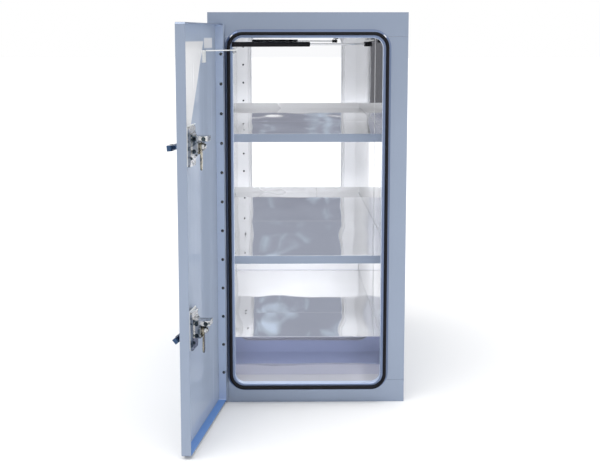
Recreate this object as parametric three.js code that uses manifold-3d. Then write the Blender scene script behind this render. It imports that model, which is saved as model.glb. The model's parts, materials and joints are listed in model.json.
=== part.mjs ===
// A tall sheet-aluminium cabinet with one gasketed pan door on a continuous hinge, two folding
// T-handle cam latches, a gas strut door stay, two fixed shelves and a retainer plate.
// Millimetres, +Z up. Origin at the centre of the base; the door side faces -Y.
// The door stands open, with its latches unlocked.

import * as THREE from 'three';
import { mergeVertices } from 'three/addons/utils/BufferGeometryUtils.js';
import Module from 'manifold-3d';

const wasm = await Module();
wasm.setup();

// ---------------------------------------------------------------- driving dimensions
const WIDTH = 610;
const HEIGHT = 1219;
const DEPTH = 1270;
const SHEET = 3;
const GAP = 0.3;

const OPENING = { halfWidth: 228, bottom: 65, top: 1142, radius: 30 };
const RIM = { width: 18.5, proud: 15, inward: 10, sheet: 2 };
const SEAL = { offset: 8, width: 10.2, height: 12 };
const TOP_SEAM = 1146;
const BOTTOM_SEAM = 72;

const SHELF = { setBack: 309, sheet: 2.5, lip: 25, upper: 802, lower: 391 };
const RETAINER_TOP = 136;
const RAIL = { leg: 25, sheet: 2.5, rearGap: 40 };

const HINGE = { x: -256, y: -640, leaf: 26, sheet: 1.6, barrel: 4.5, pin: 2, knuckles: 12 };
const DOOR = { near: 5, far: 544, bottom: 9, top: 1184, depth: 27, sheet: 2.5, radius: 6 };
const DOOR_OPEN = THREE.MathUtils.degToRad(98);

const LATCH_ACROSS = 440;
const LATCHES = [
  { name: 'upper', z: 852, fold: THREE.MathUtils.degToRad(85) },
  { name: 'lower', z: 343, fold: THREE.MathUtils.degToRad(50) },
];
const DISH = { width: 116, height: 137, flange: 2, recessWidth: 82, recessHeight: 108, recess: 21, wall: 1.5 };
const SPINDLE = { radius: 7, bore: 7.5, armFrom: 16, armTo: 20, end: 31 };
const ARM = { length: 66, width: 18 };
const HANDLE = { pivotDepth: 5, reach: 50, grip: 16, gripDepth: 16, span: 66, stem: 9, stemWidth: 16 };

const STRUT = {
  z: 1123, anchor: [195, -535], stud: [-222, -695],
  tube: 7.5, rod: 3, rodClearance: 0.3, socket: 7.5, socketLength: 26, exposed: 184,
};
const STAY = { across: 189, z: 1106, width: 18, sheet: 3 };

// ---------------------------------------------------------------- materials
const material = (color, roughness, metalness) =>
  new THREE.MeshStandardMaterial({ color, roughness, metalness });
const brushed = () => material(0xa6afbf, 0.38, 1);
const mirror = () => material(0xd4d7de, 0.12, 1);
const plated = () => material(0xb9bcc0, 0.3, 1);
const rubber = () => material(0x202226, 0.75, 0);
const blackPaint = () => material(0x17181b, 0.35, 0);
const chrome = () => material(0xd8dade, 0.08, 1);

// ---------------------------------------------------------------- solids
function solid(geometry) {
  const bare = geometry.index ? geometry.toNonIndexed() : geometry.clone();
  bare.deleteAttribute('normal');
  bare.deleteAttribute('uv');
  const merged = mergeVertices(bare, 1e-4);
  return new wasm.Manifold(new wasm.Mesh({
    numProp: 3,
    vertProperties: new Float32Array(merged.attributes.position.array),
    triVerts: new Uint32Array(merged.index.array),
  }));
}

function toGeometry(body) {
  const mesh = body.getMesh();
  const geometry = new THREE.BufferGeometry();
  geometry.setAttribute('position', new THREE.BufferAttribute(new Float32Array(mesh.vertProperties), 3));
  geometry.setIndex(new THREE.BufferAttribute(new Uint32Array(mesh.triVerts), 1));
  geometry.computeVertexNormals();
  return geometry;
}

const join = (...parts) => parts.map(solid).reduce((a, b) => a.add(b));
const cut = (body, ...tools) => tools.map(solid).reduce((a, b) => a.subtract(b), body);

// A block between two corners.
function block(x0, x1, y0, y1, z0, z1) {
  return new THREE.BoxGeometry(x1 - x0, y1 - y0, z1 - z0)
    .translate((x0 + x1) / 2, (y0 + y1) / 2, (z0 + z1) / 2);
}

// A rectangle with rounded corners in the XZ plane, as thick as y0 to y1.
function roundedPlate(x0, x1, z0, z1, radius, y0, y1, steps = 6) {
  const shape = new THREE.Shape();
  shape.moveTo(x0 + radius, z0);
  shape.lineTo(x1 - radius, z0);
  shape.absarc(x1 - radius, z0 + radius, radius, -Math.PI / 2, 0);
  shape.lineTo(x1, z1 - radius);
  shape.absarc(x1 - radius, z1 - radius, radius, 0, Math.PI / 2);
  shape.lineTo(x0 + radius, z1);
  shape.absarc(x0 + radius, z1 - radius, radius, Math.PI / 2, Math.PI);
  shape.lineTo(x0, z0 + radius);
  shape.absarc(x0 + radius, z0 + radius, radius, Math.PI, 1.5 * Math.PI);
  const depth = y1 - y0;
  return new THREE.ExtrudeGeometry(shape, { depth, bevelEnabled: false, curveSegments: steps })
    .rotateX(Math.PI / 2).translate(0, y1, 0);
}

// A flat shape given by its corners in the XZ plane, as thick as y0 to y1.
function outlinePlate(points, y0, y1) {
  const shape = new THREE.Shape(points.map(([x, z]) => new THREE.Vector2(x, z)));
  return new THREE.ExtrudeGeometry(shape, { depth: y1 - y0, bevelEnabled: false })
    .rotateX(Math.PI / 2).translate(0, y1, 0);
}

// A round bar along Y, along Z or along X.
const barY = (radius, y0, y1, sides = 20) =>
  new THREE.CylinderGeometry(radius, radius, y1 - y0, sides).translate(0, (y0 + y1) / 2, 0);
const barZ = (radius, z0, z1, sides = 20) =>
  barY(radius, z0, z1, sides).rotateX(Math.PI / 2);
const barX = (radius, x0, x1, sides = 20) =>
  barY(radius, x0, x1, sides).rotateZ(-Math.PI / 2);

// The outline of the opening, grown outwards by an offset.
function openingPlate(offset, y0, y1) {
  const { halfWidth, bottom, top, radius } = OPENING;
  return roundedPlate(-halfWidth - offset, halfWidth + offset, bottom - offset, top + offset,
    radius + offset, y0, y1);
}

function mesh(name, geometry, finish) {
  const node = new THREE.Mesh(geometry, finish);
  node.name = name;
  return node;
}

// ---------------------------------------------------------------- the case
const FRONT = -DEPTH / 2;
const BACK = DEPTH / 2;
const HALF = WIDTH / 2;
const INNER = HALF - SHEET;

function casePanels() {
  const behindFrame = FRONT + SHEET + GAP;
  const inside = INNER - GAP;
  return [
    mesh('left_side_panel', block(-HALF, -INNER, behindFrame, BACK, 0, HEIGHT), brushed()),
    mesh('right_side_panel', block(INNER, HALF, behindFrame, BACK, 0, HEIGHT), brushed()),
    mesh('top_panel',
      block(-inside, inside, behindFrame, BACK - SHEET - GAP, HEIGHT - SHEET, HEIGHT), brushed()),
    mesh('floor_panel', block(-inside, inside, behindFrame, BACK - SHEET - GAP, 0, SHEET), mirror()),
    mesh('back_panel', block(-inside, inside, BACK - SHEET, BACK, 0, HEIGHT), mirror()),
  ];
}

// The front frame is four pieces that meet at short seams beside the opening.
function frontFrame() {
  const rimHole = RIM.width + GAP;
  const back = FRONT + SHEET;
  const hole = openingPlate(rimHole, FRONT - 1, back + 1);
  const stileEdge = OPENING.halfWidth + rimHole - 10;
  const piece = (name, x0, x1, z0, z1) =>
    mesh(name, toGeometry(cut(solid(block(x0, x1, FRONT, back, z0, z1)), hole)), brushed());
  return [
    piece('top_rail', -HALF, HALF, TOP_SEAM + GAP, HEIGHT),
    piece('bottom_rail', -HALF, HALF, 0, BOTTOM_SEAM - GAP),
    piece('left_stile', -HALF, -stileEdge, BOTTOM_SEAM, TOP_SEAM),
    piece('right_stile', stileEdge, HALF, BOTTOM_SEAM, TOP_SEAM),
  ];
}

// The raised rim round the opening: a folded channel, open at the back.
function openingRim() {
  const { width, proud, inward, sheet } = RIM;
  const face = FRONT - proud;
  const innerWall = cut(solid(openingPlate(sheet, face, FRONT + inward)),
    openingPlate(0, face - 1, FRONT + inward + 1));
  const outerWall = cut(solid(openingPlate(width, face, FRONT + SHEET)),
    openingPlate(width - sheet, face - 1, FRONT + SHEET + 1));
  const faceRing = cut(solid(openingPlate(width, face, face + sheet)),
    openingPlate(0, face - 1, face + sheet + 1));
  return mesh('opening_rim', toGeometry(innerWall.add(outerWall).add(faceRing)), mirror());
}

function doorSeal() {
  const face = FRONT - RIM.proud - GAP;
  const { offset, width, height } = SEAL;
  const ring = cut(solid(openingPlate(offset + width, face - height, face)),
    openingPlate(offset, face - height - 1, face + 1));
  return mesh('door_seal', toGeometry(ring), rubber());
}

// ---------------------------------------------------------------- shelves
const SHELF_FRONT = FRONT + SHELF.setBack;
const SHELF_BACK = BACK - SHEET - 2 * GAP;
const SHELF_HALF = INNER - 2 * GAP;

function shelf(name, top) {
  const { sheet, lip } = SHELF;
  const deck = block(-SHELF_HALF, SHELF_HALF, SHELF_FRONT, SHELF_BACK, top - sheet, top);
  const front = block(-SHELF_HALF, SHELF_HALF, SHELF_FRONT, SHELF_FRONT + sheet, top - sheet, top + lip);
  return mesh(name, toGeometry(join(deck, front)), mirror());
}

function shelfRail(name, side, shelfTop) {
  const top = shelfTop - SHELF.sheet - GAP;
  const front = SHELF_FRONT + SHELF.sheet;
  const back = BACK - RAIL.rearGap;
  const wall = side * (INNER - GAP);
  const inner = side * (INNER - GAP - RAIL.leg);
  const face = side * (INNER - GAP - RAIL.sheet);
  const along = (a, b, z0, z1) => block(Math.min(a, b), Math.max(a, b), front, back, z0, z1);
  const ledge = along(wall, inner, top - RAIL.sheet, top);
  const leg = along(wall, face, top - RAIL.leg, top);
  return mesh(name, toGeometry(join(ledge, leg)), brushed());
}

function shelves() {
  const nodes = [];
  for (const [level, top] of [['upper', SHELF.upper], ['lower', SHELF.lower]]) {
    nodes.push(shelf(`${level}_shelf`, top));
    nodes.push(shelfRail(`${level}_shelf_rail_left`, -1, top));
    nodes.push(shelfRail(`${level}_shelf_rail_right`, 1, top));
  }
  return nodes;
}

function floorRetainer() {
  const bottom = SHEET + GAP;
  const { sheet } = SHELF;
  const plate = block(-SHELF_HALF, SHELF_HALF, SHELF_FRONT, SHELF_FRONT + sheet, bottom, RETAINER_TOP);
  const foot = block(-SHELF_HALF, SHELF_HALF, SHELF_FRONT, SHELF_FRONT + RAIL.leg, bottom, bottom + sheet);
  return mesh('floor_retainer', toGeometry(join(plate, foot)), brushed());
}

// ---------------------------------------------------------------- hinge
const KNUCKLE_PITCH = (DOOR.top - DOOR.bottom) / HINGE.knuckles;

// One hinge leaf: its plate, and every second knuckle round the pin, starting at the given one.
// The plate lies beside the pin; `neck` joins a knuckle to it.
function hingeLeaf(name, plate, neck, first) {
  let leaf = solid(plate);
  for (let i = first; i < HINGE.knuckles; i += 2) {
    const z0 = DOOR.bottom + i * KNUCKLE_PITCH + GAP;
    const z1 = z0 + KNUCKLE_PITCH - 2 * GAP;
    leaf = leaf.add(solid(barZ(HINGE.barrel, z0, z1, 12))).add(solid(neck(z0, z1)));
  }
  const bore = barZ(HINGE.pin + 0.1, DOOR.bottom - 1, DOOR.top + 1, 12);
  return mesh(name, toGeometry(cut(leaf, bore)), plated());
}

function frameLeaf() {
  const back = FRONT - HINGE.y - GAP;
  const front = back - HINGE.sheet;
  const plate = block(-HINGE.leaf, -HINGE.barrel - 0.5, front, back, DOOR.bottom, DOOR.top);
  const neck = (z0, z1) => block(-HINGE.barrel - 1, -HINGE.barrel / 2, front, back, z0, z1);
  return hingeLeaf('hinge_frame_leaf', plate, neck, 0);
}

function doorLeaf() {
  const right = DOOR.near - GAP;
  const left = right - HINGE.sheet;
  const plate = block(left, right, -HINGE.leaf, -HINGE.barrel - 0.5, DOOR.bottom, DOOR.top);
  const neck = (z0, z1) => block(left - 1, right, -HINGE.barrel - 1, -HINGE.barrel / 2, z0, z1);
  return hingeLeaf('hinge_door_leaf', plate, neck, 1);
}

const hingePin = () =>
  mesh('hinge_pin', barZ(HINGE.pin, DOOR.bottom, DOOR.top, 12), plated());

// ---------------------------------------------------------------- door
// Door frame: x runs from the hinge to the free edge, y towards the case when closed.
function doorPan() {
  const { near, far, bottom, top, depth, sheet, radius } = DOOR;
  const outer = solid(roundedPlate(near, far, bottom, top, radius, -depth, 0, 3));
  const hollow = roundedPlate(near + sheet, far - sheet, bottom + sheet, top - sheet, radius - sheet,
    -depth + sheet, 1, 3);
  const holes = LATCHES.map(({ z }) => block(
    LATCH_ACROSS - DISH.recessWidth / 2 - GAP, LATCH_ACROSS + DISH.recessWidth / 2 + GAP,
    -depth - 1, -depth + sheet + 1,
    z - DISH.recessHeight / 2 - GAP, z + DISH.recessHeight / 2 + GAP));
  return mesh('door_pan', toGeometry(cut(outer, hollow, ...holes)), brushed());
}

// The stud's place in the door frame, worked out from where it stands with the door open.
function studInDoor() {
  const [x, y] = [STRUT.stud[0] - HINGE.x, STRUT.stud[1] - HINGE.y];
  const c = Math.cos(DOOR_OPEN);
  const s = Math.sin(DOOR_OPEN);
  return new THREE.Vector2(x * c - y * s, x * s + y * c);
}

// A flat bar from a foot on the door skin to the strut's ball stud.
function stayArm() {
  const root = new THREE.Vector2(STAY.across, -DOOR.depth + DOOR.sheet + GAP);
  const stud = studInDoor();
  const reach = stud.clone().sub(root);
  const length = reach.length();
  const turn = Math.atan2(reach.y, reach.x);
  const half = STAY.width / 2;
  const z0 = STAY.z - STAY.sheet / 2;
  const z1 = STAY.z + STAY.sheet / 2;
  const bar = block(0, length, -half, half, z0, z1)
    .rotateZ(turn).translate(root.x, root.y, 0);
  const end = barZ(half, z0, z1).translate(stud.x, stud.y, 0);
  const foot = block(root.x - 22, root.x + 22, root.y, root.y + STAY.sheet, STAY.z - 34, z1);
  const skinSide = block(root.x - 80, root.x + 80, root.y - 40, root.y, z0 - 1, z1 + 1);
  const hole = barZ(3.3, z0 - 1, z1 + 1, 16).translate(stud.x, stud.y, 0);
  const arm = cut(join(bar, end), skinSide).add(solid(foot));
  return mesh('stay_arm', toGeometry(cut(arm, hole)), mirror());
}

function stayStud() {
  const stud = studInDoor();
  const below = STAY.z - STAY.sheet / 2;
  const above = STAY.z + STAY.sheet / 2;
  const shaft = barZ(3, below - 9, above + 6, 16);
  const collar = barZ(6, above + GAP, above + 2.5, 16);
  return mesh('stay_stud', toGeometry(join(shaft, collar).translate([stud.x, stud.y, 0])), plated());
}

function stayNut() {
  const stud = studInDoor();
  const top = STAY.z - STAY.sheet / 2 - GAP;
  const nut = cut(solid(barZ(6.5, top - 6, top, 6)), barZ(3.3, top - 7, top + 1, 16));
  return mesh('stay_nut', toGeometry(nut.translate([stud.x, stud.y, 0])), plated());
}

// ---------------------------------------------------------------- latches
// Latch frame: origin on the spindle at the door's rear edge plane, x and y as the door's.
const SKIN = -DOOR.depth;
const DISH_FLOOR = SKIN + DISH.recess;

function latchDish(name) {
  const { width, height, flange, recessWidth, recessHeight, wall } = DISH;
  const rw = recessWidth / 2;
  const rh = recessHeight / 2;
  const rim = roundedPlate(-width / 2, width / 2, -height / 2, height / 2, 8,
    SKIN - GAP - flange, SKIN - GAP, 3);
  const cup = roundedPlate(-rw, rw, -rh, rh, 8, SKIN - GAP - flange, DISH_FLOOR, 3);
  const hollow = roundedPlate(-rw + wall, rw - wall, -rh + wall, rh - wall, 6.5,
    SKIN - 10, DISH_FLOOR - wall, 3);
  const bore = barY(SPINDLE.bore, SKIN, DISH_FLOOR + 5);
  return mesh(`${name}_latch_dish`, toGeometry(cut(join(rim, cup), hollow, bore)), plated());
}

// The cam housing: a base plate with a slanted foot, a bearing block and a stop block above it.
function latchHousing(name) {
  const base = DISH_FLOOR + GAP;
  const plate = outlinePlate([[-38, 36], [40, 36], [40, -46], [8, -34], [-38, -34]], base, base + 2.5);
  const bearing = roundedPlate(-26, 26, -20, 28, 4, base, SPINDLE.armFrom - 1.5, 3);
  const stop = roundedPlate(-22, 26, 15, 30, 3, base, 40, 3);
  const bore = barY(SPINDLE.bore, base - 1, SPINDLE.armTo);
  const hub = barY(13, SPINDLE.armFrom - 1, 41);
  return mesh(`${name}_latch_housing`, toGeometry(cut(join(plate, bearing, stop), bore, hub)), plated());
}

// The spindle, with the fork that holds the handle on its outer end.
function latchSpindle(name) {
  const pivot = SKIN + HANDLE.pivotDepth;
  const floor = DISH_FLOOR - DISH.wall - GAP;
  const ear = HANDLE.stemWidth / 2 + GAP;
  const shaft = barY(SPINDLE.radius, floor - 3, SPINDLE.end);
  const boss = barY(15, floor - 3, floor);
  const ears = [-1, 1].map((side) => block(
    Math.min(side * ear, side * (ear + 4)), Math.max(side * ear, side * (ear + 4)),
    pivot - 5, floor - 1, -6, 6));
  const hole = barX(2.7, -20, 20, 16).translate(0, pivot, 0);
  return mesh(`${name}_latch_spindle`, toGeometry(cut(join(shaft, boss, ...ears), hole)), plated());
}

function camArm(name) {
  const { armFrom, armTo } = SPINDLE;
  const half = ARM.width / 2;
  const hub = barY(12, armFrom, armTo);
  const blade = block(-half, half, armFrom, armTo, -ARM.length + half, 0);
  const tip = barY(half, armFrom, armTo).translate(0, 0, -ARM.length + half);
  const hole = barY(SPINDLE.radius + GAP, armFrom - 1, armTo + 1);
  return mesh(`${name}_cam_arm`, toGeometry(cut(join(hub, blade, tip), hole)), plated());
}

function camNut(name) {
  const from = SPINDLE.armTo + GAP;
  const nut = cut(solid(barY(11.5, from, from + 7, 6)), barY(SPINDLE.radius + GAP, from - 1, from + 8));
  return mesh(`${name}_cam_nut`, toGeometry(nut), plated());
}

const handlePin = (name) => {
  const reach = HANDLE.stemWidth / 2 + GAP + 4;
  return mesh(`${name}_handle_pin`,
    barX(2.4, -reach, reach, 16).translate(0, SKIN + HANDLE.pivotDepth, 0), chrome());
};

// The T-handle hangs from its pivot: a shank, and a grip across its end.
function tHandle(name) {
  const { reach, grip, gripDepth, span, stem, stemWidth } = HANDLE;
  const half = stemWidth / 2;
  const shank = block(-half, half, -stem / 2, stem / 2, -reach + 4, 0);
  const eye = barX(5, -half, half);
  const bar = roundedPlate(-span / 2, span / 2, -reach, -reach + gripDepth, 5, -grip / 2, grip / 2, 4);
  const pinHole = barX(2.7, -half - 1, half + 1, 16);
  const lockHole = barY(5.3, -grip, -grip / 2 + 9, 16).translate(0, 0, -reach + gripDepth / 2);
  return mesh(`${name}_t_handle`, toGeometry(cut(join(shank, eye, bar), pinHole, lockHole)), chrome());
}

function lockPlug(name) {
  const { reach, grip, gripDepth } = HANDLE;
  const keyway = block(-0.8, 0.8, -grip, -grip / 2 + 2, -3, 3);
  const plug = cut(solid(barY(5, -grip / 2 - 0.8, -grip / 2 + 8.6, 16)), keyway);
  return mesh(`${name}_lock_plug`, toGeometry(plug.translate([0, 0, -reach + gripDepth / 2])), plated());
}

function latch({ name, z, fold }) {
  const group = new THREE.Group();
  group.position.set(LATCH_ACROSS, 0, z);
  group.add(latchDish(name), latchHousing(name), latchSpindle(name), camArm(name), camNut(name),
    handlePin(name));
  const handle = new THREE.Group();
  handle.position.set(0, SKIN + HANDLE.pivotDepth, 0);
  handle.rotation.x = -fold;
  handle.add(tHandle(name), lockPlug(name));
  group.add(handle);
  return group;
}

function door() {
  const group = new THREE.Group();
  group.position.set(HINGE.x, HINGE.y, 0);
  group.rotation.z = -DOOR_OPEN;
  group.add(doorPan(), doorLeaf(), stayArm(), stayStud(), stayNut());
  LATCHES.forEach((entry) => group.add(latch(entry)));
  return group;
}

// ---------------------------------------------------------------- gas strut
// Strut frame: x runs from the anchor on the case to the ball stud on the door.
function strut() {
  const [ax, ay] = STRUT.anchor;
  const [bx, by] = STRUT.stud;
  const length = Math.hypot(bx - ax, by - ay);
  const { tube, rod, rodClearance, socket, socketLength, exposed } = STRUT;
  const rodFrom = socketLength - 8;
  const tubeFrom = socketLength - 6 + exposed;
  const tubeTo = length - socketLength + 6;
  const barrel = cut(solid(barX(tube, tubeFrom, tubeTo)),
    barX(rod + rodClearance, tubeFrom - 1, tubeTo - 10, 16));
  const shaft = barX(rod, rodFrom, tubeFrom + 90, 16);
  const end = (from, to, eye) =>
    join(barX(socket, from, to), barZ(socket, -socket, socket).translate(eye, 0, 0));
  const rodEnd = cut(end(0, rodFrom - GAP, 0), barZ(3.4, -socket + 3, socket + 1, 16));
  const tubeEnd = end(tubeTo + GAP, length, length);
  const group = new THREE.Group();
  group.position.set(ax, ay, STRUT.z);
  group.rotation.z = Math.atan2(by - ay, bx - ax);
  group.add(
    mesh('strut_tube', toGeometry(barrel), blackPaint()),
    mesh('strut_rod', shaft, chrome()),
    mesh('strut_rod_socket', toGeometry(rodEnd), blackPaint()),
    mesh('strut_tube_socket', toGeometry(tubeEnd), blackPaint()),
  );
  return group;
}

// The strut's bracket hangs from the top panel and carries a downward stud.
function strutAnchor() {
  const [x, y] = STRUT.anchor;
  const half = 12;
  const foot = STRUT.z + STRUT.socket + 3;
  const top = HEIGHT - SHEET - GAP;
  const web = block(x - half, x + half, y + 15, y + 18, foot, top);
  const lower = block(x - half, x + half, y - half, y + 18, foot, foot + 3);
  const upper = block(x - half, x + half, y + 15, y + 45, top - 3, top);
  const hole = barZ(3.3, foot - 1, foot + 4, 16).translate(x, y, 0);
  const bracket = mesh('strut_bracket', toGeometry(cut(join(web, lower, upper), hole)), plated());
  const shaft = barZ(3, STRUT.z - 3, foot + 4, 16);
  const head = barZ(6, foot + 3 + GAP, foot + 7, 16);
  const stud = mesh('strut_stud', toGeometry(join(shaft, head).translate([x, y, 0])), plated());
  return [bracket, stud];
}

// ---------------------------------------------------------------- assembly
const hingeGroup = new THREE.Group();
hingeGroup.position.set(HINGE.x, HINGE.y, 0);
hingeGroup.add(frameLeaf(), hingePin());

const group = new THREE.Group();
group.add(...casePanels(), ...frontFrame(), openingRim(), doorSeal());
group.add(...shelves(), floorRetainer(), hingeGroup, door(), strut(), ...strutAnchor());

export default group;
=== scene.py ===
"""Looks of a tall sheet-aluminium cabinet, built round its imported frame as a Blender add-on."""

import json
import math

import bmesh
import bpy
from bpy.props import FloatProperty, FloatVectorProperty, IntProperty, PointerProperty
from mathutils import Matrix, Vector

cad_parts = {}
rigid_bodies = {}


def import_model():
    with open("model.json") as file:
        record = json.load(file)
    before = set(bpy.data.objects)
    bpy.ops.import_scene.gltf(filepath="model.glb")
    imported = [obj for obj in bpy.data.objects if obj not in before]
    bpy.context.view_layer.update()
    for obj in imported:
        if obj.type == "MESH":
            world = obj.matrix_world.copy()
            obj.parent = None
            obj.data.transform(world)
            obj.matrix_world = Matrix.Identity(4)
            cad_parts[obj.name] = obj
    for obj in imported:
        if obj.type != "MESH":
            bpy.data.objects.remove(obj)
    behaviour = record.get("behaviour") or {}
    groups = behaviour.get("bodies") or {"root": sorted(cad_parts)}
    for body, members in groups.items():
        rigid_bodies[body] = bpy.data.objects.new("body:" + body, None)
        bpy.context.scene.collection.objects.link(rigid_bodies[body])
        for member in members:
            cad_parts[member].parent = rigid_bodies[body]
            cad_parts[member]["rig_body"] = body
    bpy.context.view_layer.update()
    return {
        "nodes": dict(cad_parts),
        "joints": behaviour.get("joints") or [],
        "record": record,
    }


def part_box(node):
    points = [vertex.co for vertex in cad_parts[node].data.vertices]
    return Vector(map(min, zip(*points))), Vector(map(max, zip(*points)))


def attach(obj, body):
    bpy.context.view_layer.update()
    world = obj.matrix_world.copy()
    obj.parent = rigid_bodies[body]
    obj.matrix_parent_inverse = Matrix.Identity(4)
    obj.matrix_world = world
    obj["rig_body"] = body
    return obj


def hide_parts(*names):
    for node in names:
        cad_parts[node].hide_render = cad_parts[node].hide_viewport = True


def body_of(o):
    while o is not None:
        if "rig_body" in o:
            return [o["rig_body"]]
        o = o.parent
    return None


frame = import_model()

bl_info = {
    "name": "Sheet Aluminium Cabinet",
    "version": (1, 0, 0),
    "blender": (4, 5, 0),
    "location": "3D View > Sidebar > Cabinet",
    "description": "Dresses a tall sheet-aluminium cabinet: rim, seal, door, latches, strut and finishes",
    "category": "Object",
}

JOINTS = {joint["name"]: joint for joint in frame["joints"]}
HINGE = Vector(JOINTS["door_hinge"]["pos_m"])
DOOR_OPEN = math.radians(JOINTS["door_hinge"]["range_deg"][1])
DOOR_FRAME = Matrix.Translation((HINGE.x, HINGE.y, 0)) @ Matrix.Rotation(-DOOR_OPEN, 4, "Z")
LEVELS = ("upper", "lower")
LATCH_ACROSS = 0.440
LATCH_HEIGHTS = {"upper": 0.852, "lower": 0.343}
MM = 0.001
RIM_WIDTH = 18.5 * MM
OPENING_RADIUS = 30 * MM
EVEN = (1.0, 1.0, 1.0)
DECK_STRETCH = (1.3, 0.35, 1.0)
RETAINER_Y = -0.326
# Where the floor's duller, darker band in front of the retainer begins.
DULL_BAND_FROM_Y = -0.46
MIRROR_DOWN_TO_Z = 0.81
# Along the open door's skin: metres from the hinge are (y - SKIN_START_Y) * SKIN_RUN.
SKIN_START_Y, SKIN_RUN = -0.6366, -1.0098
# The painted reflection in the door's top corner, a bright slanted patch: its top edge, and its slanted edge
# with its slope and reach.
REFLECTION_TOP, REFLECTION_SLOPE, REFLECTION_REACH = 1.133, 0.818, 1.1133
# A small bright patch by the stay, also a painted reflection: where it lies along the skin and in height.
STAY_REFLECTION_ALONG, STAY_REFLECTION_HEIGHT = (0.056, 0.176), (1.113, 1.142)


# ------------------------------------------------------------------ settings
class SheetSettings(bpy.types.PropertyGroup):
    """Sizes of folded sheet metal."""

    edge: FloatProperty(
        name="Sheet edge", description="How far a cut sheet edge is rounded",
        default=0.6 * MM, min=0.0, subtype="DISTANCE", unit="LENGTH")
    rivet: FloatProperty(
        name="Rivet radius", description="Radius of a hinge rivet's head",
        default=4.8 * MM, min=0.0, subtype="DISTANCE", unit="LENGTH")
    rivets: IntProperty(
        name="Rivets", description="Rivets down each hinge leaf", default=12, min=2)
    rivet_top: FloatProperty(
        name="Top rivet", description="Height of the uppermost hinge rivet",
        default=1094 * MM, subtype="DISTANCE", unit="LENGTH")
    rivet_pitch: FloatProperty(
        name="Rivet pitch", description="Distance from one hinge rivet to the next",
        default=90.3 * MM, min=0.0, subtype="DISTANCE", unit="LENGTH")


class FinishSettings(bpy.types.PropertyGroup):
    """Colours and textures of the finishes."""

    # The case colour is the aluminium's own grey with the grey-blue of a reflected sky painted in, as the
    # room round it is white.
    brushed: FloatVectorProperty(
        name="Brushed aluminium", description="Colour of the case and door",
        default=(0.325, 0.38, 0.485), min=0.0, max=1.0, subtype="COLOR")
    polished: FloatVectorProperty(
        name="Polished aluminium", description="Colour of the bright inside",
        default=(0.95, 0.955, 0.97), min=0.0, max=1.0, subtype="COLOR")
    coated: FloatVectorProperty(
        name="Door lining", description="Colour of the glossy film inside the door",
        default=(0.42, 0.49, 0.62), min=0.0, max=1.0, subtype="COLOR")
    fold: FloatVectorProperty(
        name="Rim", description="Colour of the folded rim round the opening",
        default=(0.215, 0.27, 0.41), min=0.0, max=1.0, subtype="COLOR")
    ledge: FloatVectorProperty(
        name="Door ledge", description="Colour of the bottom wall inside the door",
        default=(0.16, 0.33, 0.70), min=0.0, max=1.0, subtype="COLOR")
    rubber: FloatVectorProperty(
        name="Rubber", description="Colour of the door seal",
        default=(0.007, 0.007, 0.009), min=0.0, max=1.0, subtype="COLOR")
    plated: FloatVectorProperty(
        name="Zinc plate", description="Colour of the latch and hinge parts",
        default=(0.60, 0.60, 0.60), min=0.0, max=1.0, subtype="COLOR")
    # The handles' dark blue is a painted reflection of blue surroundings, put into the chrome's colour.
    handle: FloatVectorProperty(
        name="Handle chrome", description="Colour of the smoked chrome on the T-handles",
        default=(0.05, 0.09, 0.17), min=0.0, max=1.0, subtype="COLOR")
    ripple: FloatProperty(
        name="Ripple", description="Height of the slow waves in the polished sheet",
        default=4.0 * MM, min=0.0, subtype="DISTANCE", unit="LENGTH")


class StageSettings(bpy.types.PropertyGroup):
    """Camera, floor and light."""

    eye: FloatVectorProperty(
        name="Eye", description="Where the camera stands",
        default=(-0.0878, -4.4273, 1.1483), subtype="XYZ", unit="LENGTH")
    pitch: FloatProperty(
        name="Pitch", description="How far the camera looks down",
        default=math.radians(8.977), subtype="ANGLE", unit="ROTATION")
    yaw: FloatProperty(
        name="Yaw", description="How far the camera turns to its right",
        default=math.radians(0.957), subtype="ANGLE", unit="ROTATION")
    lens: FloatProperty(
        name="Lens", description="Focal length in millimetres", default=74.13, min=1.0)
    surroundings: FloatVectorProperty(
        name="Surroundings", description="Colour of the room that the metal mirrors",
        default=(1.0, 1.0, 1.0), min=0.0, subtype="COLOR")
    daylight: FloatProperty(
        name="Daylight", description="Strength of the soft light from above", default=1.3, min=0.0)
    fill: FloatProperty(
        name="Inside fill", description="Power of the soft light inside the case", default=17.0, min=0.0)


# ------------------------------------------------------------------ shader wires
class Wire:
    """A number that a shader node puts out; sums and products on it add Math nodes."""

    def __init__(self, finish, socket):
        self.finish = finish
        self.socket = socket

    def maths(self, operation, first, second):
        return self.finish.node("ShaderNodeMath", {"operation": operation}, {0: first, 1: second})

    def __add__(self, other):
        return self.maths("ADD", self, other)

    __radd__ = __add__

    def __sub__(self, other):
        return self.maths("SUBTRACT", self, other)

    def __rsub__(self, other):
        return self.maths("SUBTRACT", other, self)

    def __mul__(self, other):
        return self.maths("MULTIPLY", self, other)

    __rmul__ = __mul__


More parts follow.
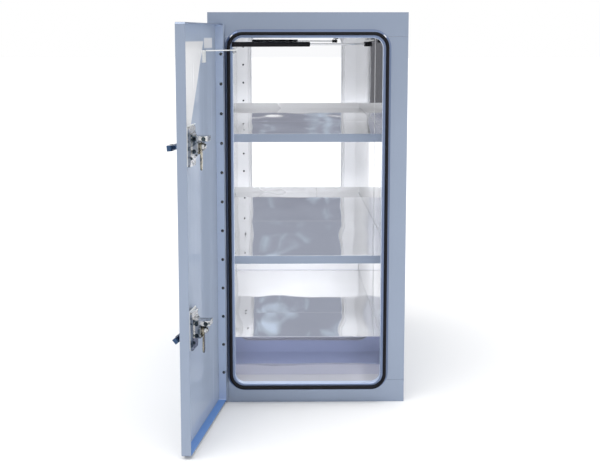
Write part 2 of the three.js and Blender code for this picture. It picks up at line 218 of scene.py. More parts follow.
class Finish:
    """A material in the making. Every node in it comes from the one method `node`."""

    def __init__(self, name):
        self.material = bpy.data.materials.new(name)
        self.material.use_nodes = True
        self.tree = self.material.node_tree
        self.surface = next(n for n in self.tree.nodes if n.type == "BSDF_PRINCIPLED")

    def node(self, kind, settings=None, inputs=None, output=0):
        made = self.tree.nodes.new(kind)
        for key, value in (settings or {}).items():
            if key == "stops":
                self.set_stops(made.color_ramp, value)
            else:
                setattr(made, key, value)
        self.feed(made, inputs or {})
        return Wire(self, made.outputs[output])

    def feed(self, made, inputs):
        for key, value in inputs.items():
            if isinstance(value, Wire):
                self.tree.links.new(value.socket, made.inputs[key])
            else:
                made.inputs[key].default_value = value

    def set_stops(self, ramp, stops):
        while len(ramp.elements) < len(stops):
            ramp.elements.new(1.0)
        for element, (place, shade) in zip(ramp.elements, stops):
            element.position = place
            element.color = (shade, shade, shade, 1.0)

    def place(self, stretch=EVEN):
        """The point on the piece in the shared frame, stretched along the axes."""
        point = self.node("ShaderNodeTexCoord", output="Object")
        return self.node("ShaderNodeVectorMath", {"operation": "MULTIPLY"}, {0: point, 1: stretch})

    def along(self, axis):
        """How far the point lies along one axis of the shared frame."""
        return self.node("ShaderNodeSeparateXYZ", {}, {0: self.place()}, output="XYZ".index(axis))

    def noise(self, scale, detail=2.0, stretch=EVEN, rough=0.5):
        return self.node("ShaderNodeTexNoise", {}, {
            "Vector": self.place(stretch), "Scale": scale, "Detail": detail, "Roughness": rough})

    def ramp(self, value, *stops):
        return self.node("ShaderNodeValToRGB", {"stops": stops}, {0: value})

    def step(self, value):
        """One where the value is above nothing, and none below, with a narrow edge."""
        return self.ramp(value * 300.0 + 0.5, (0.0, 0.0), (1.0, 1.0))

    def between(self, value, low, high):
        return self.step(value - low) * self.step(high - value)

    def blend(self, factor, first, second):
        return self.node("ShaderNodeMix", {"data_type": "RGBA"},
                         {0: factor, 6: rgba(first), 7: rgba(second)}, output=2)

    def bump(self, height, distance, strength=1.0, normal=None):
        inputs = {"Strength": strength, "Distance": distance, "Height": height}
        if normal is not None:
            inputs["Normal"] = normal
        return self.node("ShaderNodeBump", {}, inputs)

    def done(self, **sockets):
        self.feed(self.surface, {key.replace("_", " "): value for key, value in sockets.items()})
        return self.material


def rgba(colour):
    """A colour with full cover, or the wire as it is."""
    return colour if isinstance(colour, Wire) else (*colour[:3], 1.0)


def shade(colour, factor):
    return tuple(min(1.0, channel * factor) for channel in colour[:3])


# ------------------------------------------------------------------ finishes
def brushed_aluminium(name, colour, grain=(1.0, 1.0, 0.012)):
    """Mill-finished sheet: fine lines along one axis, soft clouds and a few rubbed patches."""
    finish = Finish(name)
    lines = finish.noise(1400.0, 3.0, grain, 0.6)
    clouds = finish.noise(3.2, 3.0)
    rubbed = finish.ramp(finish.noise(14.0, 4.0), (0.52, 0.0), (0.7, 1.0))
    tone = finish.blend(clouds, shade(colour, 0.91), shade(colour, 1.08))
    base = finish.blend(lines * 0.5, tone, shade(colour, 0.86))
    roughness = 0.27 + lines * 0.08 + clouds * 0.06 + rubbed * 0.03
    waves = finish.bump(finish.noise(2.2, 1.0), 1.2 * MM, 0.6)
    normal = finish.bump(lines, 0.02 * MM, 0.5, waves)
    return finish.done(Base_Color=base, Roughness=roughness, Metallic=1.0, Normal=normal)


def hazed(finish, colour):
    """Faint slow clouds on bright sheet, and the sheet's colour with them on it."""
    haze = finish.ramp(finish.noise(4.0, 1.0), (0.40, 0.0), (0.80, 1.0))
    return haze, finish.blend(haze * 0.5, colour, shade(colour, 0.93))


def wavering(finish, ripple, stretch=EVEN):
    """The slow waves of sheet that is not quite flat."""
    return finish.bump(finish.noise(3.6, 1.0, stretch), ripple)


def polished_sheet(name, colour, ripple, roughness=0.035, metallic=1.0, stretch=EVEN):
    """Bright sheet, in which what it mirrors wavers."""
    finish = Finish(name)
    haze, base = hazed(finish, colour)
    return finish.done(Base_Color=base, Roughness=roughness + haze * (roughness * 0.3), Metallic=metallic,
                       Normal=wavering(finish, ripple, stretch))


def worn_mirror(name, colour, ripple):
    """A side wall still mirror bright at the top and rubbed to satin lower down."""
    finish = Finish(name)
    worn = finish.ramp((MIRROR_DOWN_TO_Z - finish.along("Z")) * 12.0 + 0.5, (0.0, 0.0), (1.0, 1.0))
    base = hazed(finish, colour)[1]
    return finish.done(Base_Color=base, Roughness=0.03 + worn * 0.06, Metallic=1 - worn * 0.22,
                       Normal=wavering(finish, ripple))


def floor_sheet(name, colour, ripple):
    """The floor: mirror bright, but for a duller, slightly darker band with a wavering edge just in front of
    the retainer.
    """
    finish = Finish(name)
    depth = finish.along("Y")
    edge = depth + finish.noise(3.2, 1.0) * 0.12
    # A band with a wavering edge just in front of the retainer is duller and a little darker.
    dull_band = finish.ramp((edge - DULL_BAND_FROM_Y) * 10.0, (0.35, 0.0), (0.65, 1.0))
    behind = finish.ramp((depth - RETAINER_Y) * 100.0, (0.49, 0.0), (0.51, 1.0))
    dull = dull_band * (1 - behind)
    base = finish.blend(dull, hazed(finish, colour)[1], shade(colour, 0.86))
    return finish.done(Base_Color=base, Roughness=0.03 + dull * 0.2, Metallic=1 - dull * 0.7,
                       Normal=wavering(finish, ripple, DECK_STRETCH))


def rough_foot(name, colour):
    """The bend where the rim meets the frame, in a colour darkened as painted shade."""
    finish = Finish(name)
    clouds = finish.noise(6.0, 2.0)
    base = finish.blend(clouds, shade(colour, 0.92), shade(colour, 1.08))
    finish.feed(finish.surface, {"Specular IOR Level": 0.1})
    return finish.done(Base_Color=base, Roughness=0.62 + clouds * 0.1)


def coated_sheet(name, colour, reflection_colour):
    """The door's inner face under a clear protective film, with painted reflections: a bright slanted patch
    in its top corner and a small one by the stay.
    """
    finish = Finish(name)
    height = finish.along("Z")
    from_hinge = (finish.along("Y") - SKIN_START_Y) * SKIN_RUN
    # Painted reflections: the bright slanted patch in the top corner and the small one by the stay, which are
    # also rougher and a little metallic.
    corner = finish.step(from_hinge + height * REFLECTION_SLOPE - REFLECTION_REACH) * finish.step(REFLECTION_TOP - height)
    stay_reflection = finish.between(from_hinge, *STAY_REFLECTION_ALONG) * finish.between(height, *STAY_REFLECTION_HEIGHT)
    painted_reflection = corner + stay_reflection
    clouds = finish.noise(3.0, 2.0)
    scuffs = finish.ramp(finish.noise(60.0, 3.0, (1.0, 1.0, 0.05)), (0.60, 0.0), (0.74, 1.0))
    tone = finish.blend(clouds, shade(colour, 0.82), shade(colour, 0.94))
    film = finish.blend(scuffs * 0.35, tone, shade(colour, 1.1))
    base = finish.blend(painted_reflection, film, reflection_colour)
    normal = finish.bump(finish.noise(2.4, 1.0), 0.6 * MM, 0.6)
    finish.feed(finish.surface, {"Specular IOR Level": 0.01})
    return finish.done(Base_Color=base, Roughness=0.05 + scuffs * 0.12 + painted_reflection * 0.15, Metallic=painted_reflection * 0.2,
                       Normal=normal)


def plated_steel(name, colour, dark=(0.03, 0.06, 0.08)):
    """Bright zinc plate: a faint spangle, duller patches and dark bluish stains."""
    finish = Finish(name)
    spangle = finish.node("ShaderNodeTexVoronoi", {"feature": "F1"},
                          {"Vector": finish.place(), "Scale": 160.0})
    patches = finish.noise(60.0, 3.0)
    stains = finish.ramp(finish.noise(75.0, 2.0), (0.50, 0.0), (0.60, 1.0))
    base = finish.blend(patches, shade(colour, 0.82), shade(colour, 1.15))
    base = finish.blend(stains * 0.8, base, dark)
    normal = finish.bump(spangle + patches, 0.25 * MM, 0.5)
    return finish.done(Base_Color=base, Roughness=0.14 + patches * 0.16, Metallic=1.0, Normal=normal)


def chrome_plate(name, colour=(0.80, 0.81, 0.83)):
    """Chrome with a faint haze."""
    finish = Finish(name)
    haze = finish.noise(90.0, 3.0)
    base = finish.blend(haze, colour, shade(colour, 0.85))
    return finish.done(Base_Color=base, Roughness=0.05 + haze * 0.09, Metallic=1.0)


def seal_rubber(name, colour):
    """Moulded rubber with a dusty bloom and a fine skin."""
    finish = Finish(name)
    skin = finish.noise(900.0, 3.0)
    bloom = finish.ramp(finish.noise(24.0, 4.0), (0.4, 0.0), (0.8, 1.0))
    base = finish.blend(bloom * 0.5, colour, shade(colour, 2.3))
    normal = finish.bump(skin, 0.06 * MM, 0.5)
    finish.feed(finish.surface, {"Specular IOR Level": 0.14})
    return finish.done(Base_Color=base, Roughness=0.48 + bloom * 0.2, Normal=normal)


def black_enamel(name):
    """Black enamel with a fine orange peel and duller worn patches."""
    finish = Finish(name)
    peel = finish.noise(420.0, 2.0)
    wear = finish.ramp(finish.noise(60.0, 4.0), (0.55, 0.0), (0.8, 1.0))
    base = finish.blend(wear * 0.4, (0.004, 0.004, 0.006), (0.016, 0.017, 0.02))
    normal = finish.bump(peel, 0.03 * MM, 0.4)
    finish.feed(finish.surface, {"Specular IOR Level": 0.12})
    return finish.done(Base_Color=base, Roughness=0.22 + wear * 0.2, Normal=normal)


def pale_floor(name):
    """An almost even pale floor."""
    finish = Finish(name)
    tone = finish.blend(finish.noise(0.8, 2.0), (0.90, 0.90, 0.90), (0.93, 0.93, 0.93))
    return finish.done(Base_Color=tone, Roughness=0.75)


FINISHES = {}


def make_finishes(settings):
    """Makes each finish under its own name; after the maker come its colour and its other values."""
    polished, ripple = settings.polished, settings.ripple
    makers = {
        "brushed_case": (brushed_aluminium, settings.brushed),
        "polished_inside": (polished_sheet, polished, ripple * 1.9, 0.03, 1.0, DECK_STRETCH),
        "floor_inside": (floor_sheet, polished, ripple * 2.5),
        "polished_back": (polished_sheet, polished, ripple * 0.02, 0.015),
        "satin_inside": (polished_sheet, polished, ripple * 0.15, 0.2, 0.25),
        "side_inside": (polished_sheet, polished, ripple * 0.1, 0.09, 0.4),
        "polished_flat": (polished_sheet, (0.79, 0.80, 0.92), ripple * 0.5, 0.04),
        "lip_inside": (polished_sheet, shade(polished, 0.72), ripple * 0.1, 0.25, 0.4),
        "mirror_side": (worn_mirror, polished, ripple * 0.12),
        "rail_inside": (polished_sheet, (0.72, 0.80, 1.0), ripple * 0.1, 0.2, 0.25),
        "rim_fold": (brushed_aluminium, settings.fold),
        # The rim's foot takes the rim's colour darkened as painted shade.
        "rim_foot": (rough_foot, shade(settings.fold, 0.8)),
        "door_wall": (polished_sheet, shade(settings.coated, 1.25), ripple * 0.1, 0.3, 0.4),
        "door_ledge": (polished_sheet, settings.ledge, ripple * 0.05, 0.4, 0.2),
        # The door lining's painted reflections take the bright inside colour, a little darkened.
        "door_inside": (coated_sheet, settings.coated, shade(polished, 0.9)),
        "rivet_steel": (plated_steel, shade(settings.plated, 0.22)),
        "latch_steel": (plated_steel, settings.plated),
        "chrome": (chrome_plate,),
        # The T-handles' chrome, in a dark blue painted reflection.
        "handle_chrome": (chrome_plate, settings.handle),
        "clamp_steel": (polished_sheet, (0.90, 0.91, 0.90), ripple * 0.05, 0.3, 0.2),
        "dish_steel": (brushed_aluminium, (0.50, 0.52, 0.55), (0.012, 1.0, 1.0)),
        "cam_steel": (plated_steel, (0.42, 0.38, 0.28), (0.02, 0.02, 0.015)),
        "bolt_steel": (plated_steel, (0.06, 0.08, 0.09), (0.01, 0.015, 0.02)),
        "seal_rubber": (seal_rubber, settings.rubber),
        "strut_black": (black_enamel,),
    }
    FINISHES.update({name: maker(name, *values) for name, (maker, *values) in makers.items()})


def dress_frame():
    """Each CAD node takes the finish of its slot."""
    for entry in frame["record"]["subparts"]:
        mesh = frame["nodes"][entry["node"]].data
        mesh.materials.clear()
        mesh.materials.append(FINISHES[entry["material_slot"]])


# ------------------------------------------------------------------ mesh helpers
def shade_by_angle(mesh, limit=35.0):
    """Smooth faces that lean on the large flat ones, with a crisp line where two meet at a sharp angle."""
    mesh.shade_smooth()
    built = bmesh.new()
    built.from_mesh(mesh)
    cosine = math.cos(math.radians(limit))
    for edge in built.edges:
        edge.smooth = len(edge.link_faces) == 2 and edge.calc_face_angle(0.0) < math.radians(limit)
    built.normal_update()
    normals = []
    for face in built.faces:
        for loop in face.loops:
            near = [f for f in loop.vert.link_faces if f.normal.dot(face.normal) > cosine]
            normals.append(sum((f.normal * f.calc_area() for f in near), Vector()).normalized())
    built.to_mesh(mesh)
    built.free()
    mesh.normals_split_custom_set(normals)


def finish_piece(name, built, body, slot, replaced=(), finish=None):
    """Turns a bmesh in the row frame into a piece that rides on a body."""
    bmesh.ops.recalc_face_normals(built, faces=built.faces)
    mesh = bpy.data.meshes.new(name)
    built.to_mesh(mesh)
    built.free()
    shade_by_angle(mesh)
    mesh.materials.append(FINISHES[finish or slot])
    piece = bpy.data.objects.new(name, mesh)
    bpy.context.scene.collection.objects.link(piece)
    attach(piece, body)
    if replaced:
        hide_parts(*replaced)
    return piece


def body_of_node(node):
    return body_of(frame["nodes"][node])[0]


def slot_of_node(node):
    return next(e["material_slot"] for e in frame["record"]["subparts"] if e["node"] == node)


def refined(node, width, segments=2, finish=None):
    """The node's own shape with its sharp edges rounded."""
    built = bmesh.new()
    built.from_mesh(frame["nodes"][node].data)
    bmesh.ops.remove_doubles(built, verts=built.verts, dist=0.01 * MM)
    bmesh.ops.dissolve_limit(built, angle_limit=math.radians(0.6), verts=built.verts, edges=built.edges)
    sharp = [e for e in built.edges
             if len(e.link_faces) == 2 and e.calc_face_angle(0.0) > math.radians(28.0)]
    bmesh.ops.bevel(built, geom=sharp, offset=width, segments=segments, profile=0.5,
                    affect="EDGES", clamp_overlap=True)
    return finish_piece(node + "_shell", built, body_of_node(node), slot_of_node(node), [node], finish)


def sweep(built, rows, closed_rows=False, closed_columns=False):
    """Skins a grid of points: each row is one section."""
    grid = [[built.verts.new(point) for point in row] for row in rows]
    row_count, column_count = len(grid), len(grid[0])
    for i in range(row_count if closed_rows else row_count - 1):
        for j in range(column_count if closed_columns else column_count - 1):
            a, b = grid[i], grid[(i + 1) % row_count]
            k = (j + 1) % column_count
            built.faces.new((a[j], b[j], b[k], a[k]))
    return grid


def turned(built, profile, frame_matrix, steps=32):
    """A solid of revolution about the matrix's z axis; the profile runs from axis to axis."""
    rows = []
    for i in range(steps):
        angle = 2 * math.pi * i / steps
        rows.append([frame_matrix @ Vector((r * math.cos(angle), r * math.sin(angle), z))
                     for r, z in profile if r > 0])
    grid = sweep(built, rows, closed_rows=True)
    ends = [0, len(grid[0]) - 1]
    for column, (radius, height) in zip(ends, (profile[0], profile[-1])):
        if radius == 0:
            tip = built.verts.new(frame_matrix @ Vector((0, 0, height)))
            for i in range(steps):
                built.faces.new((grid[i][column], grid[(i + 1) % steps][column], tip))


def line_inside(piece, inside, finish):
    """Gives the faces whose middle satisfies the test a second finish."""
    piece.data.materials.append(FINISHES[finish])
    for face in piece.data.polygons:
        if inside(face.center, face.normal):
            face.material_index = len(piece.data.materials) - 1


def door_axis(place, direction):
    """A place and a direction in the door's own frame, carried to the shared frame."""
    return DOOR_FRAME @ Vector(place), DOOR_FRAME.to_3x3() @ Vector(direction)


def axis_matrix(origin, direction):
    """A frame at the origin whose z axis points along the direction."""
    return Matrix.Translation(origin) @ Vector(direction).to_track_quat("Z", "Y").to_matrix().to_4x4()


def arc(centre, radius, start, end, steps):
    """Points on an arc in the plane, angles in degrees."""
    points = []
    for i in range(steps + 1):
        angle = math.radians(start + (end - start) * i / steps)
        points.append((centre[0] + radius * math.cos(angle), centre[1] + radius * math.sin(angle)))
    return points


# ------------------------------------------------------------------ the opening
def opening_path(corner_steps=14):
    """The opening's outline: points and outward directions in the XZ plane."""
    low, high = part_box("opening_rim")
    x0, x1 = low.x + RIM_WIDTH, high.x - RIM_WIDTH
    z0, z1 = low.z + RIM_WIDTH, high.z - RIM_WIDTH
    radius = OPENING_RADIUS
    path = []
    corners = (((x1 - radius, z1 - radius), 0), ((x0 + radius, z1 - radius), 90),
               ((x0 + radius, z0 + radius), 180), ((x1 - radius, z0 + radius), 270))
    for centre, start in corners:
        for x, z in arc(centre, radius, start, start + 90, corner_steps):
            out = Vector((x - centre[0], 0, z - centre[1])).normalized()
            path.append((Vector((x, 0, z)), out))
    return path


def ring_piece(name, profile, slot, node, finish=None):
    """Sweeps a closed section of (outward, y) points round the opening."""
    built = bmesh.new()
    rows = [[point + out * u + Vector((0, y, 0)) for u, y in profile] for point, out in opening_path()]
    sweep(built, rows, closed_rows=True, closed_columns=True)
    return finish_piece(name, built, "case", slot, [node], finish)


def rim_section():
    """The folded rim: inner wall, face and outer wall, with rounded folds and a flared foot."""
    low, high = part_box("opening_rim")
    face, rear = low.y, high.y
    sheet, bend, foot, lift = 2 * MM, 4.5 * MM, 7 * MM, 0.35 * MM
    plane = face + 15 * MM
    outer = [(0, rear), (0, face + bend)]
    outer += arc((bend, face + bend), bend, 180, 270, 6)
    outer += arc((RIM_WIDTH - bend, face + bend), bend, 270, 360, 6)
    outer += arc((RIM_WIDTH + foot, plane - foot - 0.4 * MM), foot, 180, 90, 6)
    outer += [(RIM_WIDTH + foot, plane - lift), (RIM_WIDTH - sheet, plane - lift)]
    inner = arc((RIM_WIDTH - bend, face + bend), bend - sheet, 360, 270, 4)
    inner += arc((bend, face + bend), bend - sheet, 270, 180, 4)
    return outer + inner + [(sheet, rear)]


def seal_section():
    """A hollow bulb on a flat foot, with a step on each side."""
    low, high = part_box("door_seal")
    foot, top = high.y, low.y
    inner, width = 8 * MM, 10.2 * MM
    middle, radius = inner + width / 2, 4.6 * MM
    section = [(inner, foot), (inner, foot - 2.2 * MM), (inner + 1.1 * MM, foot - 3 * MM)]
    for angle in range(200, -21, -10):
        turn = math.radians(angle)
        section.append((middle + radius * math.cos(turn), top + radius - radius * math.sin(turn)))
    return section + [(inner + width - 1.1 * MM, foot - 3 * MM), (inner + width, foot - 2.2 * MM),
                      (inner + width, foot)]


def seal_joint():
    """The moulded sleeve where the ends of the seal meet, at the bottom of the opening."""
    low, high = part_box("door_seal")
    bottom = low.z + 18.2 * MM
    middle, foot = 14 * MM, high.y - 4 * MM
    built = bmesh.new()
    rows = []
    for offset in (-4, -3.4, -2.8, 2.8, 3.4, 4):
        grow = 0.35 * MM if abs(offset) < 3.6 else 0.0
        rows.append([Vector((offset * MM, y - grow if y < foot else y,
                             bottom - u + (grow if u < middle else -grow))) for u, y in seal_section()])
    sweep(built, rows, closed_columns=True)
    finish_piece("seal_joint", built, "case", "seal_rubber")


# ------------------------------------------------------------------ rivets and bolts
def dome(built, place, direction, radius, height):
    """A low blind rivet head on the surface at the place, with the hollow its stem left."""
    profile = [(radius, 0), (radius, height * 0.25)]
    profile += [(radius * math.cos(math.radians(a)), height * (0.25 + 0.75 * math.sin(math.radians(a))))
                for a in (20, 40, 60, 68)]
    profile += [(radius * 0.3, height * 0.9), (radius * 0.26, height * 0.45), (0, height * 0.45)]
    turned(built, profile, axis_matrix(place, direction), 20)


def bolt_head(built, place, direction, radius, height):
    """A hexagon head on a washer."""
    at = axis_matrix(place, direction)
    washer = 0.9 * MM
    turned(built, [(0, 0), (radius * 1.35, 0), (radius * 1.35, washer), (0, washer)], at, 24)
    turned(built, [(0, washer), (radius, washer), (radius, washer + height * 0.85),
                   (radius * 0.86, washer + height), (0, washer + height)], at, 6)


def rivet_row(name, body, places, direction, radius, height):
    """Rivet heads at the places, all facing one way."""
    built = bmesh.new()
    for place in places:
        dome(built, place, direction, radius, height)
    finish_piece(name, built, body, "latch_steel", finish="rivet_steel")


def rivet_heights(sheet):
    """The heights of the hinge rivets, from the top down."""
    return [sheet.rivet_top - sheet.rivet_pitch * i for i in range(sheet.rivets)]


# ------------------------------------------------------------------ operators
# The inner face of each case sheet: its axis, which way it looks along it, and its finish.
CASE_LININGS = {
    "bottom_rail": (1, 1, "rail_inside"),
    "top_rail": (1, 1, "satin_inside"),
    "left_stile": (1, 1, "satin_inside"),
    "right_stile": (1, 1, "satin_inside"),
    "left_side_panel": (0, 1, "side_inside"),
    "right_side_panel": (0, -1, "mirror_side"),
    "top_panel": (2, -1, "satin_inside"),
    "floor_panel": (2, 1, "floor_inside"),
    "back_panel": (1, -1, "polished_back"),
}


class CABINET_OT_finishes(bpy.types.Operator):
    """Make the finishes and put them on the frame"""

    bl_idname = "cabinet.finishes"
    bl_label = "Finishes"

    def execute(self, context):
        make_finishes(context.scene.cabinet_finish)
        dress_frame()
        return {"FINISHED"}


class CABINET_OT_case(bpy.types.Operator):
    """Round the edges of the case panels and the front frame"""

    bl_idname = "cabinet.case"
    bl_label = "Case"

    def execute(self, context):
        edge = context.scene.cabinet_sheet.edge
        for node, (axis, side, lining) in CASE_LININGS.items():
            panel = refined(node, edge, finish="brushed_case")
            line_inside(panel, lambda centre, normal: normal[axis] * side > 0.9, lining)
        return {"FINISHED"}


class CABINET_OT_opening(bpy.types.Operator):
    """Make the folded rim and its rubber seal"""

    bl_idname = "cabinet.opening"
    bl_label = "Rim and seal"

    def execute(self, context):
        rim = ring_piece("rim", rim_section(), "polished_inside", "opening_rim", "rim_fold")
        low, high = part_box("opening_rim")
        middle = (low + high) / 2
        half = (high - low) / 2

        def from_mouth(centre):
            return max(abs(centre.x - middle.x) - half.x, abs(centre.z - middle.z) - half.z) + RIM_WIDTH

        def away(centre, normal):
            return (normal * Vector((1, 0, 1))).dot(centre - middle) > 0

        def behind_face(centre):
            return centre.y > low.y + 1.5 * MM

        def mouth_wall(centre, normal):
            return behind_face(centre) and from_mouth(centre) < RIM_WIDTH / 2 and not away(centre, normal)

        def hollow(centre, normal):
            turned_in = away(centre, normal) == (from_mouth(centre) < RIM_WIDTH / 2)
            return behind_face(centre) and (normal.y > 0.3 or (normal.y > -0.9 and turned_in))

        def foot(centre, normal):
            return from_mouth(centre) > RIM_WIDTH - 1 * MM and away(centre, normal)

        for test, finish in ((mouth_wall, "door_wall"), (hollow, "satin_inside"), (foot, "rim_foot")):
            line_inside(rim, test, finish)
        ring_piece("seal", seal_section(), "seal_rubber", "door_seal")
        seal_joint()
        return {"FINISHED"}


class CABINET_OT_shelves(bpy.types.Operator):
    """Make the shelves, their rails and the retainer"""

    bl_idname = "cabinet.shelves"
    bl_label = "Shelves"

    def execute(self, context):
        sheet = context.scene.cabinet_sheet
        for level in LEVELS:
            shelf = refined(f"{level}_shelf", sheet.edge, finish="brushed_case")
            line_inside(shelf, lambda centre, normal: normal.z > 0.9, "polished_inside")
            line_inside(shelf, lambda centre, normal: normal.z < -0.9, "satin_inside")
            line_inside(shelf, lambda centre, normal: normal.y > 0.9, "lip_inside")
            for side in ("left", "right"):
                refined(f"{level}_shelf_rail_{side}", sheet.edge, finish="satin_inside")
        retainer = refined("floor_retainer", sheet.edge, finish="polished_flat")
        line_inside(retainer, lambda centre, normal: normal.y > 0.9, "satin_inside")
        return {"FINISHED"}


class CABINET_OT_hinge(bpy.types.Operator):
    """Round the hinge leaves and set their rivets"""

    bl_idname = "cabinet.hinge"
    bl_label = "Hinge"

    def execute(self, context):
        sheet = context.scene.cabinet_sheet
        for node in ("hinge_frame_leaf", "hinge_door_leaf", "hinge_pin"):
            refined(node, 0.4 * MM, finish="brushed_case")
        leaf_low, leaf_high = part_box("hinge_frame_leaf")
        across = leaf_low.x + 11 * MM
        leaf_face = leaf_high.y - 8.3 * MM
        stile_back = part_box("left_stile")[1].y
        wall = 7.5 * MM
        low_head, head, tail = 1.2 * MM, 1.5 * MM, 2.6 * MM
        heights = rivet_heights(sheet)
        rivet_row("hinge_rivets_frame", "case", [Vector((across, leaf_face, z)) for z in heights],
                  (0, -1, 0), sheet.rivet, low_head)
        rivet_row("hinge_rivet_tails_frame", "case", [Vector((across, stile_back, z)) for z in heights],
                  (0, 1, 0), sheet.rivet, tail)
        rivet_row("hinge_rivets_door", "door", [DOOR_FRAME @ Vector((wall, -wall, z)) for z in heights],
                  DOOR_FRAME.to_3x3() @ Vector((1, 0, 0)), sheet.rivet, head)
        return {"FINISHED"}


class CABINET_OT_door(bpy.types.Operator):
    """Round the door pan and the stay arm"""

    bl_idname = "cabinet.door"
    bl_label = "Door"

    def execute(self, context):
        pan = refined("door_pan", 0.8 * MM)
        middle, inwards = door_axis((270 * MM, -12 * MM, 600 * MM), (0, 1, 0))
        to_door = DOOR_FRAME.inverted()
        skin = -24 * MM

        def on_skin(centre, normal):
            return normal.dot(inwards) > 0.9 and (to_door @ centre).y < skin

        def on_wall(centre, normal):
            return (abs(normal.dot(inwards)) < 0.1 and normal.dot(middle - centre) > 0
                    and (to_door @ centre).y > skin)

        def on_ledge(centre, normal):
            return normal.z > 0.9 and centre.z < 50 * MM

        for test, finish in ((on_skin, "door_inside"), (on_wall, "door_wall"), (on_ledge, "door_ledge")):
            line_inside(pan, test, finish)
        for node in ("stay_arm", "stay_stud", "stay_nut"):
            refined(node, 0.4 * MM, finish="clamp_steel" if node == "stay_arm" else None)
        return {"FINISHED"}


def latch_bolts(name):
    """Dark bolts through the housing's base and its side."""
    across, centre = LATCH_ACROSS, LATCH_HEIGHTS[name]
    bolts = bmesh.new()
    for dx, dz in ((-32, 26), (34, 31), (-32, -26), (34, -30)):
        place, direction = door_axis((across + dx * MM, -3.0 * MM, centre + dz * MM), (0, 1, 0))
        bolt_head(bolts, place, direction, 3.6 * MM, 3.0 * MM)
    for h, dz in ((3, 21), (29, 22), (3, -12)):
        place, direction = door_axis((across + 26 * MM, h * MM, centre + dz * MM), (1, 0, 0))
        bolt_head(bolts, place, direction, 4.4 * MM, 3.4 * MM)
    finish_piece(f"{name}_latch_bolts", bolts, "door", "latch_steel", finish="bolt_steel")


def slab(built, place, corners, thickness, along):
    """A flat plate: an outline in a plane, thickened along a direction, in the door's own frame."""
    shifts = (Vector(place), Vector(place) + Vector(along) * (thickness * MM))
    rows = [[DOOR_FRAME @ (shift + Vector(corner) * MM) for corner in corners] for shift in shifts]
    grid = sweep(built, rows, closed_columns=True)
    built.faces.new(grid[0])
    built.faces.new(list(reversed(grid[1])))


def latch_clamp(name):
    """The clamp round the back of the dish, with a tab folded up at its top; millimetres from the spindle."""
    place = (LATCH_ACROSS, 0.0, LATCH_HEIGHTS[name])
    inner, outer, seat = 41.4, 42.4, -14
    clamp = bmesh.new()
    for side in (-1, 1):
        slab(clamp, place, [(side * inner, seat, -52), (side * outer, seat, -46), (side * outer, seat, 50),
                            (side * inner, seat, 56)], 3.0, (0, 1, 0))
    slab(clamp, place, [(-outer, seat, 54.4), (outer, seat, 54.4), (outer, seat, 58), (-outer, seat, 58)],
         2.0, (0, 1, 0))
    slab(clamp, place, [(30, -12, 56.0), (outer, -12, 56.0), (outer, 9, 63.0), (30, 9, 63.0)], 2.0, (0, 0, 1))
    finish_piece(f"{name}_latch_clamp", clamp, "door", "latch_steel", finish="clamp_steel")


def line_dish(name, dish):
    """A plain brushed face on what shows of the dish from outside the door."""
    middle, outwards = door_axis((LATCH_ACROSS, 0.0, LATCH_HEIGHTS[name]), (0, -1, 0))

    def faces_out(centre, normal):
        to_middle = middle - centre
        to_middle -= outwards * to_middle.dot(outwards)
        lean = normal.dot(outwards)
        return lean > 0.5 or (abs(lean) < 0.5 and normal.dot(to_middle) > 0)

    line_inside(dish, faces_out, "dish_steel")


class CABINET_OT_latches(bpy.types.Operator):
    """Round the latch parts"""

    bl_idname = "cabinet.latches"
    bl_label = "Latches"

    def execute(self, context):
        for name in LEVELS:
            for part in ("latch_dish", "latch_housing", "latch_spindle", "cam_arm", "cam_nut", "handle_pin",
                         "lock_plug"):
                refined(f"{name}_{part}", 0.5 * MM, finish="cam_steel" if part == "cam_arm" else None)
            line_dish(name, bpy.data.objects[f"{name}_latch_dish_shell"])
            refined(f"{name}_t_handle", 2.2 * MM, 3, finish="handle_chrome")
            latch_bolts(name)
            latch_clamp(name)
        return {"FINISHED"}


class CABINET_OT_strut(bpy.types.Operator):
    """Make the gas strut and its bracket"""

    bl_idname = "cabinet.strut"
    bl_label = "Gas strut"

    def execute(self, context):
        for node in ("strut_tube", "strut_rod", "strut_rod_socket", "strut_tube_socket", "strut_bracket",
                     "strut_stud"):
            refined(node, 0.5 * MM)
        return {"FINISHED"}


# ------------------------------------------------------------------ stage
def add_light(name, kind, direction, energy, place=(0.0, 0.0, 0.0), **settings):
    """A light that shines along the direction."""
    data = bpy.data.lights.new(name, kind)
    data.energy = energy
    for key, value in settings.items():
        setattr(data, key, value)
    light = bpy.data.objects.new(name, data)
    light.location = place
    light.rotation_euler = Vector(direction).to_track_quat("-Z", "Y").to_euler()
    bpy.context.scene.collection.objects.link(light)
    return light


def plain_sheet(name, corners, material):
    """A flat sheet of the stage, which belongs to no body."""
    built = bmesh.new()
    built.faces.new([built.verts.new(corner) for corner in corners])
    mesh = bpy.data.meshes.new(name)
    built.to_mesh(mesh)
    built.free()
    mesh.materials.append(material)
    sheet = bpy.data.objects.new(name, mesh)
    bpy.context.scene.collection.objects.link(sheet)
    return sheet


def reflection_screen(name, across, y, heights, material):
    """An upright screen behind the camera, seen only in the mirror-bright sheet, where it paints a dark
    reflection.
    """
    (x0, x1), (z0, z1) = across, heights
    sheet = plain_sheet(name, [(x0, y, z0), (x1, y, z0), (x1, y, z1), (x0, y, z1)], material)
    sheet.visible_camera = False
    sheet.visible_shadow = False
    sheet.visible_diffuse = False


def pale_room(colour):
    """The even white room around the cabinet."""
    world = bpy.data.worlds.new("pale_room")
    world.use_nodes = True
    world.node_tree.nodes["Background"].inputs["Color"].default_value = rgba(colour)
    return world


def plain_grey(name, colour):
    return Finish(name).done(Base_Color=rgba(colour), Roughness=0.9)


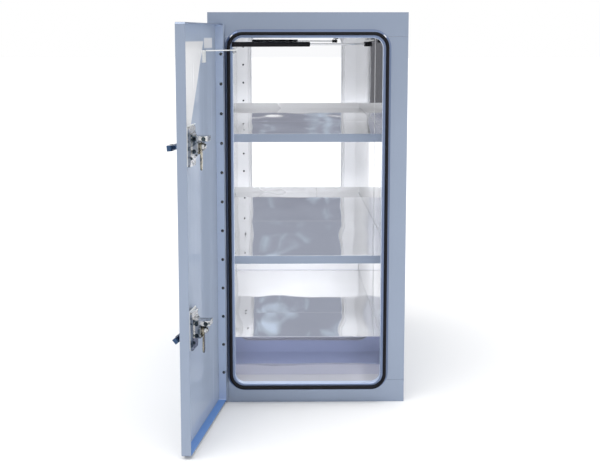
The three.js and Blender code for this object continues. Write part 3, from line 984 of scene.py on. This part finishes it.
def painted_reflection_grey(name):
    """Grey for a painted reflection, lighter a little upwards, with a few soft pale blotches as painted
    highlights.
    """
    finish = Finish(name)
    # Painted reflection: lighter upwards, with pale painted highlights.
    upper = finish.ramp((finish.along("Z") - 1.45) * 3.0, (0.0, 0.0), (1.0, 1.0))
    painted_highlights = finish.ramp(finish.noise(3.4, 3.0), (0.56, 0.0), (0.80, 1.0))
    tone = finish.blend(upper, (0.24, 0.25, 0.30), (0.30, 0.32, 0.38))
    tone = finish.blend(painted_highlights * 0.8, tone, (0.60, 0.70, 0.82))
    return finish.done(Base_Color=tone, Roughness=0.9)


def add_camera(stage):
    """The camera, which looks level to the north but for its pitch and yaw."""
    lens = bpy.data.cameras.new("camera")
    lens.sensor_width = 36.0
    lens.lens = stage.lens
    lens.clip_end = 200.0
    camera = bpy.data.objects.new("camera", lens)
    camera.location = stage.eye
    camera.rotation_euler = (math.pi / 2 - stage.pitch, 0.0, -stage.yaw)
    bpy.context.scene.collection.objects.link(camera)
    return camera


class CABINET_OT_stage(bpy.types.Operator):
    """Set the camera, the pale floor and the soft light"""

    bl_idname = "cabinet.stage"
    bl_label = "Stage"

    def execute(self, context):
        scene = context.scene
        stage = scene.cabinet_stage
        scene.camera = add_camera(stage)
        scene.view_settings.view_transform = "Standard"
        scene.world = pale_room(stage.surroundings)
        reach = 60.0
        plain_sheet("floor", [(-reach, -reach, 0), (reach, -reach, 0), (reach, reach, 0), (-reach, reach, 0)],
                    pale_floor("pale_floor"))
        add_light("overhead", "SUN", (0.15, 0.45, -1.0), stage.daylight, angle=math.radians(50.0))
        fill = add_light("inside_fill", "AREA", (0.0, -1.0, 0.0), stage.fill, (0.0, 0.6, 0.6),
                         shape="RECTANGLE", size=0.56, size_y=1.1)
        fill.visible_camera = False
        fill.visible_glossy = False
        # Screens that paint dark reflections into the mirror-bright sheet: a mottled one with painted
        # highlights and a plain dark one.
        reflection_screen("dark_reflection_card", (-0.8, 0.7), -9.0, (1.3, 3.4), painted_reflection_grey("dark_reflection_card"))
        reflection_screen("low_reflection_card", (-2.6, -0.52), -12.0, (0.0, 1.7), plain_grey("low_reflection_grey", (0.11, 0.11, 0.12)))
        return {"FINISHED"}


class CABINET_PT_sidebar(bpy.types.Panel):
    """The cabinet's pieces and settings"""

    bl_idname = "CABINET_PT_sidebar"
    bl_label = "Cabinet"
    bl_space_type = "VIEW_3D"
    bl_region_type = "UI"
    bl_category = "Cabinet"

    def draw(self, context):
        for operator in OPERATORS:
            self.layout.operator(operator.bl_idname)
        for group in ("cabinet_sheet", "cabinet_finish", "cabinet_stage"):
            settings = getattr(context.scene, group)
            box = self.layout.box()
            for key in settings.__annotations__:
                box.prop(settings, key)


OPERATORS = (CABINET_OT_finishes, CABINET_OT_case, CABINET_OT_opening, CABINET_OT_shelves, CABINET_OT_hinge,
             CABINET_OT_door, CABINET_OT_latches, CABINET_OT_strut, CABINET_OT_stage)
CLASSES = (SheetSettings, FinishSettings, StageSettings, *OPERATORS, CABINET_PT_sidebar)


def register():
    for cls in CLASSES:
        bpy.utils.register_class(cls)
    bpy.types.Scene.cabinet_sheet = PointerProperty(type=SheetSettings)
    bpy.types.Scene.cabinet_finish = PointerProperty(type=FinishSettings)
    bpy.types.Scene.cabinet_stage = PointerProperty(type=StageSettings)


def unregister():
    for key in ("cabinet_sheet", "cabinet_finish", "cabinet_stage"):
        delattr(bpy.types.Scene, key)
    for cls in reversed(CLASSES):
        bpy.utils.unregister_class(cls)


def main():
    register()
    for operator in OPERATORS:
        family, name = operator.bl_idname.split(".")
        getattr(getattr(bpy.ops, family), name)()


if __name__ == "__main__":
    main()
